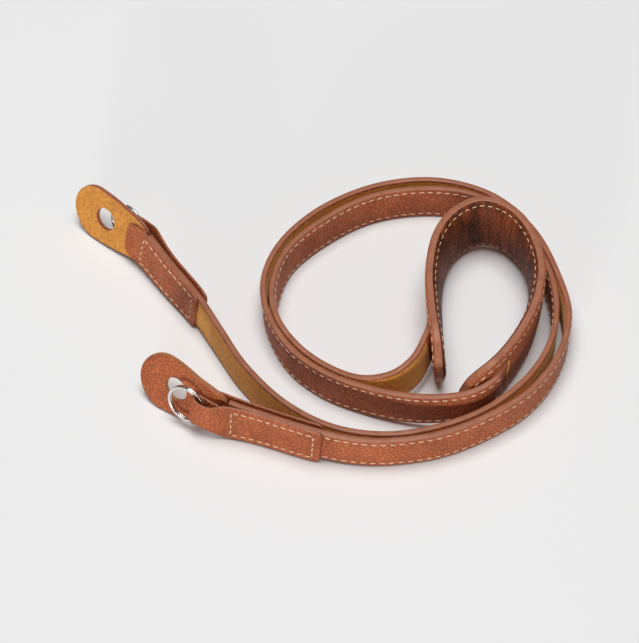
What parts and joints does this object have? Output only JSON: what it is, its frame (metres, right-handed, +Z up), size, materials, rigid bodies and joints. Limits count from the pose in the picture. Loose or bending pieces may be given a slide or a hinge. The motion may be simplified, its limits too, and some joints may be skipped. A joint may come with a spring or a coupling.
{
  "type": "camera neck strap",
  "caption": "Stitched leather neck strap with a suede back, lying coiled on its edges: a padded neck piece, two narrow legs, and ends with flaps, lug protectors and split rings.",
  "frame": {"origin": "centre of the base of the bounding box, on the surface the strap lies on", "axes": "+X to the right, the longest side; +Y away from the viewer, +Z up across the strap's width, the shortest side"},
  "size_m": [0.1846, 0.122, 0.0294],
  "materials": {
    "leather": "pebbled grain, satin",
    "pad_leather": "pebbled grain, satin",
    "suede": "suede nap, matt",
    "ring_steel": "polished nickel"
  },
  "bodies": {
    "root": {"leg_a_leather": "leather", "leg_a_lining": "suede", "leg_b_leather": "leather", "leg_b_lining": "suede", "pad_outer": "pad_leather", "pad_inner": "pad_leather", "end_a_front_flap": "leather", "end_a_back_flap": "leather", "end_b_front_flap": "leather", "end_b_back_flap": "leather", "protector_a_leather": "leather", "protector_a_lining": "suede", "protector_b_leather": "leather", "protector_b_lining": "suede", "split_ring_a": "ring_steel", "split_ring_b": "ring_steel"}
  },
  "joints": []
}
